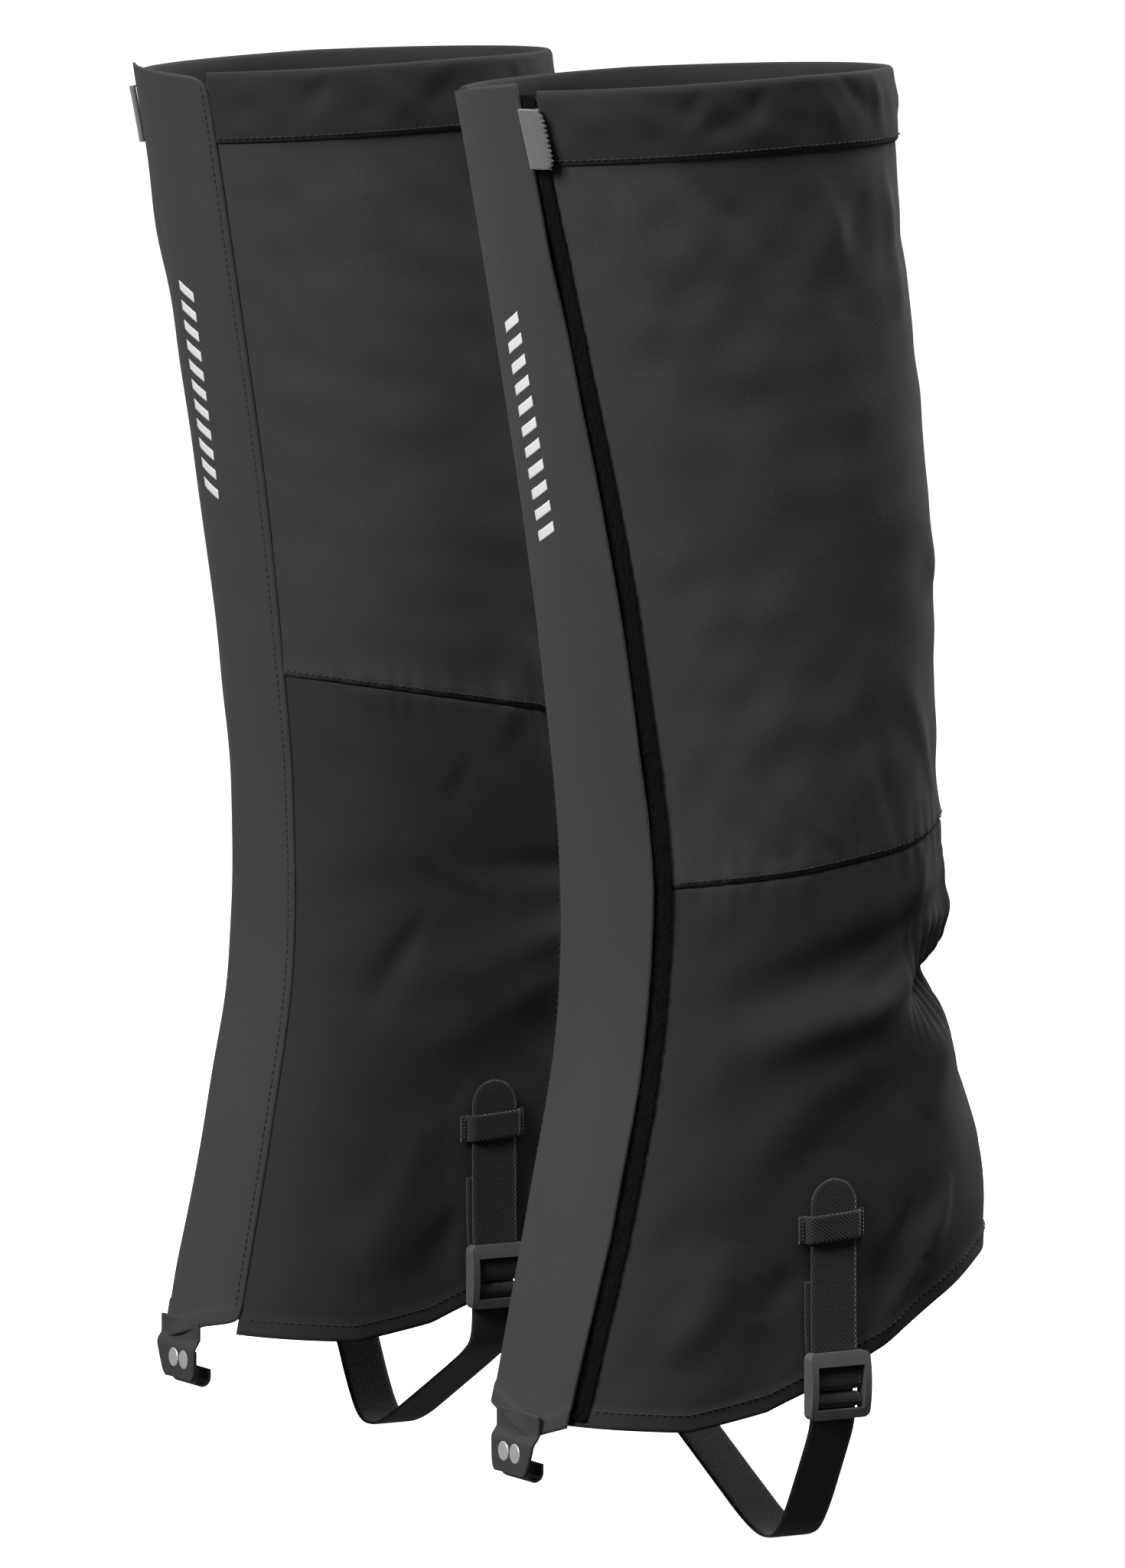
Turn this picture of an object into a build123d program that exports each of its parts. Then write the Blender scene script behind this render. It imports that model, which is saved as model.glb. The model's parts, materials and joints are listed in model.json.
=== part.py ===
from build123d import *
import math
import os

# A pair of knee-length walking gaiters at their worn size, in millimetres.
# +Z is up, the wearer faces -Y and the wearer's left is +X. z = 0 is the lowest point of the instep straps.
# The left gaiter is modelled about its own line x = 0, with its outer side at +X, and moved to its place
# beside the right one, which is its mirror image.

# --- Driving dimensions -------------------------------------------------------------------------------
PAIR_SPACING = 239.0  # between the two legs' centre lines
FORE_AFT_SHIFT = -1.5  # puts the middle of the pair's depth at y = 0

PANEL = 1.2  # laminated panel, with its seam allowance
TRIM = 1.0  # hook tape, loop tape, cuff and flap cloth
WEBBING = 1.3  # thickness of the strap webbing
WEBBING_WIDTH = 18.0
CLEAR = 0.8  # air between cloth pieces that move past each other
GAP = 0.45  # room for seams and facets between cloth layers of one body
FLAP_INNER = 2.8  # from the sleeve's outer surface to the flap's inner face
SEAM_ALLOWANCE = 2.0

# Sleeve outer surface at even heights: (centre y, half depth, half width, squareness); squareness 2 is an
# ellipse.
SECTION_STEP = 60.0
SLEEVE_SECTIONS = [
    (-0.5, 88.0, 54.0, 2.50),
    (8.8, 85.1, 54.0, 2.50),
    (18.0, 82.5, 54.0, 2.40),
    (13.6, 67.6, 53.3, 2.35),
    (14.3, 67.8, 54.0, 2.25),
    (10.1, 69.7, 55.0, 2.20),
    (4.0, 71.4, 56.0, 2.18),
    (-4.3, 73.6, 57.4, 2.15),
    (-12.6, 76.3, 59.2, 2.10),
    (-20.4, 79.0, 61.2, 2.10),
]
PANEL_COLUMNS = 24  # facets round a whole panel
TAPE_COLUMNS = 4  # facets across the flap's tapes
FLAP_COLUMNS = 7
FACET_HEIGHT = 20.0

# Side-view lines (y, z): the rim, the hem, and the two halves of the slanting panel seam.
RIM = [(-130, 502), (-88, 505), (0, 510), (60, 512), (130, 512)]
HEM = [(-130, 48), (-77, 46), (-40, 44), (-11, 49.5), (6, 56), (35, 69), (60, 82.5), (85, 95), (130, 112)]
OUTER_SEAM = [(-130, 224), (-60, 229), (0, 235), (50, 242), (90, 254), (130, 266)]
INNER_SEAM = [(-130, 300), (-60, 287), (36, 272), (90, 254), (130, 241)]
CUFF_HEIGHT = 26.0

# Front-view lines (x, z) of the flap: the seam that joins it to the sleeve, and its free edge.
FLAP_SEAM = [(-24, 30), (-23, 110), (-21, 230), (-23, 370), (-26, 520)]
FLAP_EDGE = [(26, 30), (29, 110), (32, 230), (29, 330), (20, 520)]
FLAP_TOP = [(-34, 500), (20, 505), (36, 505)]
FLAP_HEM = [(-34, 52), (-10, 47), (14, 40), (27, 45), (36, 48)]
LOOP_WIDTH = 22.0
LOOP_SHOWS = 4.5  # loop tape that shows beyond the flap's free edge
HOOK_WIDTH = 17.0

ANKLE_ELASTIC = (186.0, 206.0)  # lowest and highest z of the elastic across the heel side
HEEL_HALF_ANGLE = math.radians(62)

STRAP_Y = 14.0  # fore-and-aft centre of the straps
SIDE_X = 54.0  # the sleeve's side, where the straps lie
INNER_RISE = 8.0  # how much higher the inner side's buckle, keeper and webbing sit
KEEPER_Z = (108.0, 117.6)
KEEPER_WIDTH = 25.0
TAIL_TOP = 130.0
ANCHOR_Z = (60.2, 94.0)

BUCKLE_Z = (46.2, 69.6)
BUCKLE_WIDTH = 24.0
BUCKLE_X = (56.6, 62.6)  # inner and outer faces at the buckle's middle
BUCKLE_BOW = 1.6  # how far its ends curve back towards the leg
RAIL = 2.6
TOP_BAR = 4.8
BOTTOM_BAR = 3.4
BAR_RADIUS = 1.1
STRAP_BAR = (57.8, 52.6)  # x, z of the bar that holds the instep strap
WEBBING_BAR = (57.8, 58.6)  # x, z of the bar that the webbing turns over

HOOK_TAB_CENTRE_X = 6.0
HOOK_TAB_Z = (27.0, 39.2)
HOOK_TAB_WIDTHS = (29.0, 23.0)
HOOK_TAB_LEAN = 2.5  # how far its lower edge lies towards the inner side
HOOK_TAB_Y = -84.2  # front face of the tab
HOOK_METAL = 0.9
HOOK_THROAT_RADIUS = 2.5
HOOK_WIDTH_METAL = 18.0
RIVET_SPACING = 8.0
RIVET_HEAD_RADIUS = 3.6
RIVET_SHANK_RADIUS = 1.5
RIVET_Z = 34.4


# --- Shapes shared by many pieces ---------------------------------------------------------------------
def power(value, exponent):
    return math.copysign(abs(value) ** exponent, value)


def along(line, place):
    """The second coordinate of a line of points at a given first coordinate, straight between points."""
    for (a, va), (b, vb) in zip(line, line[1:]):
        if place <= b:
            break
    share = min(max((place - a) / (b - a), 0.0), 1.0)
    return va + (vb - va) * share


def swapped(line):
    return [(second, first) for first, second in line]


def shifted(line, along_first, along_second):
    return [(a + along_first, b + along_second) for a, b in line]


def section(z):
    """Centre y, half depth, half width and squareness of the sleeve at one height, curved between levels."""
    level = min(max(z / SECTION_STEP, 0.0), len(SLEEVE_SECTIONS) - 1.001)
    i = int(level)
    t = level - i
    last = len(SLEEVE_SECTIONS) - 1
    before, low, high, after = (SLEEVE_SECTIONS[min(max(k, 0), last)] for k in (i - 1, i, i + 1, i + 2))
    values = []
    for p, q, r, s in zip(before, low, high, after):
        curve = (2 * p - 5 * q + 4 * r - s) * t * t + (3 * q - p - 3 * r + s) * t ** 3
        values.append(q + 0.5 * ((r - p) * t + curve))
    return values


def sleeve_point(angle, z, offset=0.0):
    """A point on the sleeve; angle 0 is the front and a quarter turn is the outer side."""
    centre_y, depth, width, squareness = section(z)
    x = (width + offset) * power(math.sin(angle), 2 / squareness)
    y = centre_y - (depth + offset) * power(math.cos(angle), 2 / squareness)
    return Vector(x, y, z)


def angle_at(x, z):
    """The angle on the front half where the sleeve has a given x."""
    _, _, width, squareness = section(z)
    return math.asin(power(x / width, squareness / 2))


def cloth(start, end, low, high, inner, outer, columns):
    """A shell of cloth between two offsets from the sleeve's outer surface, in flat facets.

    start and end give its side edges as angles for a height; low and high give its lower and upper edges
    as heights for a point on the sleeve.
    """
    middle = 0.5 * (start(250.0) + end(250.0))
    height = high(sleeve_point(middle, 250.0)) - low(sleeve_point(middle, 250.0))
    rows = max(1, round(height / FACET_HEIGHT))

    def grid_point(column, row):
        z = 250.0
        for _ in range(12):
            angle = start(z) + (end(z) - start(z)) * column / columns
            point = sleeve_point(angle, z)
            z = low(point) + (high(point) - low(point)) * row / rows
        return sleeve_point(angle, z, inner), sleeve_point(angle, z, outer)

    grid = [[grid_point(i, j) for j in range(rows + 1)] for i in range(columns + 1)]
    quads = []
    for i in range(columns):
        for j in range(rows):
            corners = (grid[i][j], grid[i + 1][j], grid[i + 1][j + 1], grid[i][j + 1])
            quads += [[c[0] for c in corners], [c[1] for c in corners]]
    border = [grid[i][0] for i in range(columns)] + [grid[columns][j] for j in range(rows)]
    border += [grid[i][rows] for i in range(columns, 0, -1)] + [grid[0][j] for j in range(rows, 0, -1)]
    for (in_a, out_a), (in_b, out_b) in zip(border, border[1:] + border[:1]):
        quads.append([in_a, in_b, out_b, out_a])
    faces = []
    for a, b, c, d in quads:
        faces += [Face(Wire.make_polygon([a, b, c])), Face(Wire.make_polygon([a, c, d]))]
    return Solid(Shell(faces))


def ribbon(*paths):
    """Webbing seen edge-on: front-view centre lines, thickened and given the webbing's width."""
    face = Sketch() + [trace(path, line_width=WEBBING) for path in paths]
    return Pos(0, STRAP_Y, 0) * extrude(Plane.XZ * face, amount=WEBBING_WIDTH / 2, both=True)


def bar(centre, radius, length):
    """A round bar across the webbing, about an (x, z) centre."""
    return Pos(centre[0], STRAP_Y, centre[1]) * Rot(90, 0, 0) * Cylinder(radius, length)


def slab(x, y, z):
    """A box given by its lowest and highest x, y and z."""
    size = (x[1] - x[0], y[1] - y[0], z[1] - z[0])
    centre = ((x[0] + x[1]) / 2, (y[0] + y[1]) / 2, (z[0] + z[1]) / 2)
    return Pos(*centre) * Box(*size)


# --- Sleeve -------------------------------------------------------------------------------------------
def flap_seam(z):
    return angle_at(along(swapped(FLAP_SEAM), z), z)


def flap_edge(z, shift=0.0):
    return angle_at(along(swapped(FLAP_EDGE), z) + shift, z)


def sleeve_front(z):
    """The sleeve's front edge on the outer side, under the flap."""
    return flap_edge(z, LOOP_SHOWS - LOOP_WIDTH)


def sleeve_end(z):
    """The sleeve's other front edge, where the flap is sewn on, counted on round the back."""
    return 2 * math.pi + angle_at(along(swapped(FLAP_SEAM), z) + SEAM_ALLOWANCE, z)


def loop_edge(z):
    return flap_edge(z, LOOP_SHOWS)


def height(line, rise=0.0):
    """An edge that follows a side-view line, raised by rise."""
    return lambda point: along(line, point.Y) + rise


def panel_seam(point):
    return along(OUTER_SEAM if point.X > 0 else INNER_SEAM, point.Y)


def level(z):
    return lambda point: z


def sleeve_pieces():
    lining = -PANEL - 1.4
    elastic_outer = -PANEL - 2 * GAP
    cuff_low = height(RIM, -CUFF_HEIGHT)
    round_back = (sleeve_front, sleeve_end)

    def cuff_start(z):
        return flap_edge(z, LOOP_SHOWS + 0.5)

    def cuff_end(z):
        return sleeve_end(z) - 0.12

    def elastic_start(z):
        return math.pi - HEEL_HALF_ANGLE

    def elastic_end(z):
        return math.pi + HEEL_HALF_ANGLE

    low, high = ANKLE_ELASTIC
    return {
        "upper_panel": cloth(*round_back, panel_seam, height(RIM), -PANEL, 0, PANEL_COLUMNS),
        "lower_panel": cloth(*round_back, height(HEM), panel_seam, -PANEL, 0, PANEL_COLUMNS),
        "top_cuff": cloth(cuff_start, cuff_end, cuff_low, height(RIM), GAP, TRIM + GAP, PANEL_COLUMNS),
        "cuff_elastic": cloth(
            *round_back, height(RIM, 3 - CUFF_HEIGHT), height(RIM, -4),
            lining + GAP, -PANEL - GAP, PANEL_COLUMNS,
        ),
        "cuff_facing": cloth(*round_back, cuff_low, height(RIM), lining - TRIM, lining, PANEL_COLUMNS),
        "loop_strip": cloth(
            sleeve_front, loop_edge, height(HEM, 2), height(RIM, -1), GAP, TRIM, TAPE_COLUMNS
        ),
        "ankle_elastic": cloth(
            elastic_start, elastic_end, level(low), level(high), elastic_outer - TRIM, elastic_outer, 8
        ),
    }


# --- Flap ---------------------------------------------------------------------------------------------
def across(line, rise=0.0):
    """An edge that follows a front-view line of heights, raised by rise."""
    return lambda point: along(line, point.X) + rise


def flap_pieces():
    """The flap lies over the loop tape, with its hook tape facing it."""
    hook_inner = TRIM + CLEAR
    hook_outer = FLAP_INNER - GAP

    def tape_start(z):
        return flap_edge(z, -2.0 - HOOK_WIDTH)

    def tape_end(z):
        return flap_edge(z, -2.0)

    return {
        "storm_flap": cloth(
            flap_seam, flap_edge, across(FLAP_HEM), across(FLAP_TOP),
            FLAP_INNER, FLAP_INNER + TRIM, FLAP_COLUMNS,
        ),
        "hook_strip": cloth(
            tape_start, tape_end, across(FLAP_HEM, 4), across(FLAP_TOP, -4),
            hook_inner, hook_outer, TAPE_COLUMNS,
        ),
    }


def pull_tab():
    """A folded cloth tab that stands out past the flap's free edge, near the rim."""

    def tab_start(z):
        return flap_edge(z, 0.8)

    def tab_end(z):
        return flap_edge(z, 7.8)

    return cloth(tab_start, tab_end, level(479), level(500), FLAP_INNER, FLAP_INNER + TRIM, 2)


# --- Lace hook at the bottom of the flap --------------------------------------------------------------
def hook_pieces():
    top, bottom = HOOK_TAB_WIDTHS
    low, high = HOOK_TAB_Z
    back = HOOK_TAB_Y + TRIM
    upper = HOOK_TAB_CENTRE_X
    centre = upper - HOOK_TAB_LEAN
    outline = Polyline(
        (upper - top / 2, high), (upper + top / 2, high),
        (centre + bottom / 2, low), (centre - bottom / 2, low), close=True,
    )
    tab = Pos(0, HOOK_TAB_Y, 0) * extrude(Plane.XZ * make_face(outline), amount=-TRIM)
    throat_z = low + 1.0
    throat_y = back + HOOK_METAL + HOOK_THROAT_RADIUS
    plate = slab(
        (centre - HOOK_WIDTH_METAL / 2, centre + HOOK_WIDTH_METAL / 2),
        (back, back + HOOK_METAL), (throat_z, high - 1.5),
    )
    ring = Circle(HOOK_THROAT_RADIUS + HOOK_METAL) - Circle(HOOK_THROAT_RADIUS)
    curl = ring & (Pos(0, -5) * Rectangle(20, 10))
    lip = Pos(HOOK_THROAT_RADIUS + HOOK_METAL / 2, 1.5) * Rectangle(HOOK_METAL, 3.0)
    profile = Plane.YZ * (Pos(throat_y, throat_z) * (curl + lip))
    curled = Pos(centre, 0, 0) * extrude(profile, amount=HOOK_WIDTH_METAL / 2, both=True)
    reach = TRIM + HOOK_METAL

    def pin(x, y, radius, length):
        return Pos(x, y, RIVET_Z) * Rot(90, 0, 0) * Cylinder(radius, length)

    rivets = []
    holes = []
    for x in (centre - RIVET_SPACING / 2, centre + RIVET_SPACING / 2):
        head = pin(x, HOOK_TAB_Y - 0.6, RIVET_HEAD_RADIUS, 1.2)
        head = fillet(head.edges().sort_by(Axis.Y)[0], 0.6)
        shank = pin(x, HOOK_TAB_Y + reach / 2, RIVET_SHANK_RADIUS, reach)
        foot = pin(x, HOOK_TAB_Y + reach + 0.4, RIVET_HEAD_RADIUS - 1, 0.8)
        rivets.append(head + shank + foot)
        holes.append(pin(x, HOOK_TAB_Y, RIVET_SHANK_RADIUS, 10))
    return {
        "hook_tab": tab - holes,
        "lace_hook": (plate + curled) - holes,
        "hook_rivets": Compound(children=[Part(rivets[0].wrapped), Part(rivets[1].wrapped)]),
    }


# --- Strap hardware on one side, built at +X ----------------------------------------------------------
def anchor_webbing():
    x = (SIDE_X + 0.3, SIDE_X + 0.2 + WEBBING)
    half = WEBBING_WIDTH / 2
    return slab(x, (STRAP_Y - half, STRAP_Y + half), ANCHOR_Z)


def keeper():
    """A short band sewn down at both ends, which the strap's tail slides under."""
    half = KEEPER_WIDTH / 2
    slot = WEBBING_WIDTH / 2 + 0.5
    roof = (58.2, 59.4)
    whole = slab((SIDE_X + 0.1, roof[1]), (STRAP_Y - half, STRAP_Y + half), KEEPER_Z)
    passage = slab((SIDE_X - 3, roof[0]), (STRAP_Y - slot, STRAP_Y + slot), (90, 130))
    return whole - passage


def buckle():
    """Bowed ladder-lock frame with a bar for the instep strap and a bar for the webbing."""
    low, high = BUCKLE_Z
    inner_x, outer_x = BUCKLE_X
    end_x = outer_x - BUCKLE_BOW
    edges = [
        ThreePointArc((end_x, low), (outer_x, (low + high) / 2), (end_x, high)),
        Polyline((end_x, high), (inner_x, high), (inner_x, low), (end_x, low)),
    ]
    body = Pos(0, STRAP_Y, 0) * extrude(Plane.XZ * make_face(edges), amount=BUCKLE_WIDTH / 2, both=True)
    rounded = Pos(STRAP_Y, (low + high) / 2) * RectangleRounded(BUCKLE_WIDTH, high - low, 2.5)
    body &= extrude(Plane.YZ * rounded, amount=100)
    half = BUCKLE_WIDTH / 2 - RAIL
    across = (STRAP_Y - half, STRAP_Y + half)
    window = slab((50, 70), across, (low + BOTTOM_BAR, high - TOP_BAR))
    behind_bars = slab((50, 59.2), across, (low - 1, high + 1))
    frame = body - window - behind_bars
    length = 2 * half + 1.0
    return frame + bar(STRAP_BAR, BAR_RADIUS, length) + bar(WEBBING_BAR, BAR_RADIUS, length)


def webbing_turn():
    """The webbing where it turns over the buckle's bar and starts back up behind the top bar."""
    x, z = WEBBING_BAR
    radius = BAR_RADIUS + 0.15 + WEBBING / 2
    around = CenterArc((x, z), radius, 180, 180)
    up_front = Polyline((x + radius, z), (x + radius - 0.2, z + 2.0), (57.1, 65.2), (57.1, 68.6))
    return ribbon(around, up_front)


def tail():
    """The free end of the webbing, from behind the buckle's top bar up through the keeper."""
    half = WEBBING_WIDTH / 2
    x = (56.5, 56.5 + WEBBING)
    strip = slab(x, (STRAP_Y - half, STRAP_Y + half), (69.2, TAIL_TOP - half))
    end = Pos(sum(x) / 2, STRAP_Y, TAIL_TOP - half) * Rot(0, 90, 0) * Cylinder(half, WEBBING)
    return strip + end


def side_pieces():
    return {
        "anchor_webbing": anchor_webbing(),
        "keeper": keeper(),
        "buckle": buckle(),
        "webbing_turn": webbing_turn(),
        "tail": tail(),
    }


# --- Instep strap -------------------------------------------------------------------------------------
def instep_strap():
    """Webbing from one buckle's lower bar to the other's, under the boot and lowest on the outer side."""
    x, z = STRAP_BAR
    inner_z = z + INNER_RISE
    radius = BAR_RADIUS + 0.3 + WEBBING / 2
    eye_outer = CenterArc((x, z), radius, 0, 359.9)
    eye_inner = CenterArc((-x, inner_z), radius, 0, 359.9)
    route = [(x - radius, z), (55.7, 43), (30, -3.98), (-36, 30), (-56.2, 42.5), (radius - x, inner_z)]
    hanging = FilletPolyline(*route, radius=[20, 14, 60, 9])
    strap = ribbon(eye_outer, eye_inner, hanging)
    return Pos(0, 0, -strap.bounding_box().min.Z) * strap


# --- Assembly -----------------------------------------------------------------------------------------
def left_gaiter():
    pieces = {**sleeve_pieces(), **flap_pieces(), **hook_pieces()}
    pieces["pull_tab"] = pull_tab()
    pieces["instep_strap"] = instep_strap()
    for name, piece in side_pieces().items():
        pieces["outer_" + name] = piece
        pieces["inner_" + name] = Pos(0, 0, INNER_RISE) * mirror(piece, about=Plane.YZ)
    return pieces


def write(name, shape):
    export_step(Compound(children=[Part(s.wrapped) for s in shape.solids()]), f"parts/{name}.step")


os.makedirs("parts", exist_ok=True)
for name, piece in left_gaiter().items():
    placed = Pos(PAIR_SPACING / 2, FORE_AFT_SHIFT, 0) * piece
    write("left_" + name, placed)
    write("right_" + name, mirror(placed, about=Plane.YZ))
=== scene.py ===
import json
import math

import bpy
import numpy as np
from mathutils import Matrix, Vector


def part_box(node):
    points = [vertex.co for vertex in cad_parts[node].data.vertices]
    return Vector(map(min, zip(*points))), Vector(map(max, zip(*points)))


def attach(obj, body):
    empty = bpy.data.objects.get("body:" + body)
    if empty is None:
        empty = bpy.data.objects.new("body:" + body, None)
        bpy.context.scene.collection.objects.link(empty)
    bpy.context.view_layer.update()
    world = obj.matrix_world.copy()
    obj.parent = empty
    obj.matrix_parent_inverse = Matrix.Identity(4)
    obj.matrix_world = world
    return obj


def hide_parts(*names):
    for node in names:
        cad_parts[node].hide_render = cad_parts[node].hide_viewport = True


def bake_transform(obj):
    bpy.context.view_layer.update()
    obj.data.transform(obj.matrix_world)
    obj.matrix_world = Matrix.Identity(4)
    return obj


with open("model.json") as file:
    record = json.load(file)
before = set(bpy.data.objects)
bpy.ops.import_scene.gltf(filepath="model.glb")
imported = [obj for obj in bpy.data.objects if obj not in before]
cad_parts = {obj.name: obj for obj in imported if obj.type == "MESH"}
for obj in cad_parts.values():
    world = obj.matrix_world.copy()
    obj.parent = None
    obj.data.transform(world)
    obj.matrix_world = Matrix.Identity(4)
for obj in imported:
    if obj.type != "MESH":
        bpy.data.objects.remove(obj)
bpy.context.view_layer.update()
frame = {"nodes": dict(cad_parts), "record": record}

# Each gaiter is shaped in millimetres about its own leg line (outer side at +X, front at -Y) and then
# put in its place in metres. The right gaiter is the mirror image of the left one.
MM = 0.001
MOUNTS = {m["name"]: m["pos_m"] for m in frame["record"]["mounts"]}
LEG_X = MOUNTS["left_leg"][0]
FORE_AFT = MOUNTS["left_leg"][1] + 17.0 * MM
SIDES = {"left": 1.0, "right": -1.0}
LEG_RADIUS = 68.0  # turns an angle into a length round the leg
MM_PER_DEGREE = 1.18  # the same for the lists of folds

# Sleeve outer surface at even heights: (centre y, half depth, half width, squareness).
SECTION_STEP = 60.0
SECTIONS = np.array([
    (-0.5, 88.0, 54.0, 2.50),
    (8.8, 85.1, 54.0, 2.50),
    (18.0, 82.5, 54.0, 2.40),
    (13.6, 67.6, 53.3, 2.35),
    (14.3, 67.8, 54.0, 2.25),
    (10.1, 69.7, 55.0, 2.20),
    (4.0, 71.4, 56.0, 2.18),
    (-4.3, 73.6, 57.4, 2.15),
    (-12.6, 76.3, 59.2, 2.10),
    (-20.4, 79.0, 61.2, 2.10),
])

# Side-view lines (y, z) and front-view lines (z, x), as the pattern is cut.
RIM = [(-130, 502), (-88, 505), (0, 510), (60, 512), (130, 512)]
HEM = [
    (-130, 48), (-77, 46), (-40, 44), (-11, 49.5), (6, 56), (35, 69), (60, 82.5), (85, 95), (130, 112),
]
OUTER_SEAM = [(-130, 224), (-60, 229), (0, 235), (50, 242), (90, 254), (130, 266)]
INNER_SEAM = [(-130, 300), (-60, 287), (36, 272), (90, 254), (130, 241)]
CUFF_HEIGHT = 26.0
FLAP_SEAM = [(30, -24), (110, -23), (230, -21), (370, -23), (520, -26)]
FLAP_EDGE = [(30, 26), (110, 29), (230, 32), (330, 29), (520, 20)]
FLAP_TOP = [(-34, 500), (20, 505), (36, 505)]
FLAP_HEM = [(-34, 52), (-10, 47), (14, 40), (27, 45), (36, 48)]
FLAP_LIFT = 3.2  # the flap's outer face above the sleeve
FLAP_WIDTH = 52.0
FLAP_CORNER = 8.0  # radius of the rounded corners beside the seam
HOOK_TAB_X = 6.0
HOOK_TAB_LEAN = 2.5
HOOK_TAB_TOP = 49.0  # sewn in behind the hem
LOOP_SHOWS = 4.5  # loop tape beyond the flap's free edge
LOOP_WIDTH = 22.0
ELASTIC_Z = 196.0  # middle height of the ankle elastic
ELASTIC_HALF_WIDTH = 10.0
ELASTIC_HALF_ANGLE = math.radians(62)  # either side of the middle of the back

# The reflective print: how many bars, the lowest point of the top one, and each bar's pitch, height and
# slant. Its sides are shares of the flap's width.
BARS = 11
BARS_TOP = 424.0
BAR_PITCH = 7.2
BAR_HEIGHT = 3.6
BAR_SLANT = 26.0
BAR_MIDDLE = 0.50
BAR_HALF_WIDTH = 0.085

STRAP_Y = 14.0
KEEPER_Z = 112.8
KEEPER_SLANT = 0.06  # its rear end is sewn a little higher than its front end
WEBBING = 1.3
WEBBING_WIDTH = 18.0
STRAP_BAR = (57.8, 52.6)
WEBBING_BAR = (57.8, 58.6)
INNER_RISE = 8.0  # how much higher the inner side's buckle, keeper and webbing sit

# The webbing's routes on the outer side, as (x, z) down the middle of its thickness.
OFF_THE_BAR = [(59.9, 61.5), (59.7, 63.0), (58.6, 64.4), (57.5, 66.0), (57.1, 69.0)]
TAIL = [(57.0, 66.5), (56.6, 72), (56.3, 80), (56.2, 105), (56.2, 118), (56.5, 129.6)]
ANCHOR_X = 54.9
ANCHOR = [  # (x, offset from STRAP_Y, z)
    (ANCHOR_X, -1.8, 94.0), (ANCHOR_X, -1.8, 80.0), (ANCHOR_X, -1.2, 70.0),
    (54.6, 0.0, 60.0), (54.2, 0.0, 51.0),
]
ANCHOR_BENDS = (0.090, 0.066)  # heights in metres
# Half of the keeper's bridge, as (x, distance from the strap's middle), and its rows of tacking, as x,
# distance from the strap's middle and half length.
KEEPER_HALF = [(54.6, 12.9), (54.9, 10.9), (57.6, 9.8), (58.4, 7.8)]
KEEPER_TACK = (55.4, 12.0, 4.2)
KEEPER_HEIGHT = 9.6
# Under the boot, between the two buckles' lower bars.
STRAP_TURN = 2.05  # radius round a bar
UNDER_BOOT = [
    (55.9, 44), (50, 32), (37, 8), (28, 0.2), (14, 2.6), (-10, 15.5), (-36, 29.6), (-52, 39), (-55.6, 45),
]
STRAP_LOW = 25.0  # below this the route is drawn down until its face reaches the floor

# Folds in the cloth: (angle, z) to (angle, z) in degrees and mm, half width and height in mm. Angle 0 is
# the front, 90 the outer side, 180 the back and 270 the inner side.
FOLDS = [
    # outer side, from the ankle elastic forwards and down
    (150, 207, 60, 170, 8.0, 4.2),
    (148, 226, 66, 192, 8.0, -3.0),
    (150, 238, 148, 210, 3.5, 1.8),
    (126, 212, 96, 188, 5.0, -2.0),
    (156, 198, 104, 190, 6.0, -2.6),
    (152, 190, 112, 150, 10.0, 2.4),
    (120, 172, 84, 128, 12.0, -1.6),
    (98, 168, 58, 128, 11.0, 2.0),
    # outer side, round the keeper and the straps
    (122, 124, 111, 98, 5.0, 2.6),
    (111, 100, 99, 68, 5.0, 2.4),
    (107, 116, 97, 84, 4.5, -2.0),
    (86, 100, 76, 80, 7.0, -1.8),
    (77, 82, 82, 56, 7.0, -1.8),
    (66, 112, 58, 64, 10.0, 1.8),
    # outer side, just above and below the panel seam
    (138, 262, 120, 300, 6.0, 1.4),
    (112, 248, 104, 286, 5.0, -1.2),
    (92, 243, 82, 262, 4.0, 1.0),
    (80, 242, 62, 268, 6.0, 1.1),
    (128, 240, 122, 222, 4.0, 1.2),
    (150, 330, 132, 372, 12.0, 1.4),
    # the upper panel, down from the cuff's seam
    (46, 482, 52, 440, 6.0, 1.2),
    (58, 483, 74, 448, 5.0, 1.3),
    (66, 482, 90, 440, 6.0, -1.1),
    (100, 482, 114, 436, 6.0, 1.3),
    (121, 474, 104, 424, 8.0, -1.5),
    (133, 483, 136, 420, 6.0, 1.5),
    (95, 440, 118, 330, 20.0, 1.8),
    (60, 430, 70, 320, 16.0, -1.3),
    (300, 470, 288, 340, 20.0, 1.5),
    (262, 440, 250, 330, 18.0, -1.3),
    (296, 482, 286, 440, 6.0, 1.2),
    (262, 482, 254, 440, 6.0, -1.2),
    # inner side, from the ankle elastic forwards
    (212, 200, 286, 176, 8.0, 3.2),
    (210, 212, 284, 216, 6.0, -2.2),
    (206, 192, 262, 142, 8.0, -2.6),
    (236, 184, 292, 150, 9.0, 2.2),
    (272, 208, 300, 228, 6.0, 1.6),
    (290, 196, 310, 160, 7.0, -1.6),
    (250, 130, 242, 96, 6.0, -2.0),
    (288, 118, 298, 60, 10.0, 2.0),
    (274, 92, 282, 62, 7.0, -1.6),
    (268, 262, 252, 300, 7.0, 1.3),
    (276, 254, 282, 236, 5.0, -1.0),
    # behind, above and below the elastic
    (172, 240, 166, 216, 6.0, 2.0),
    (192, 238, 198, 214, 6.0, 1.8),
    (170, 170, 160, 130, 9.0, 1.8),
    (196, 172, 206, 134, 9.0, 1.6),
]

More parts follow.
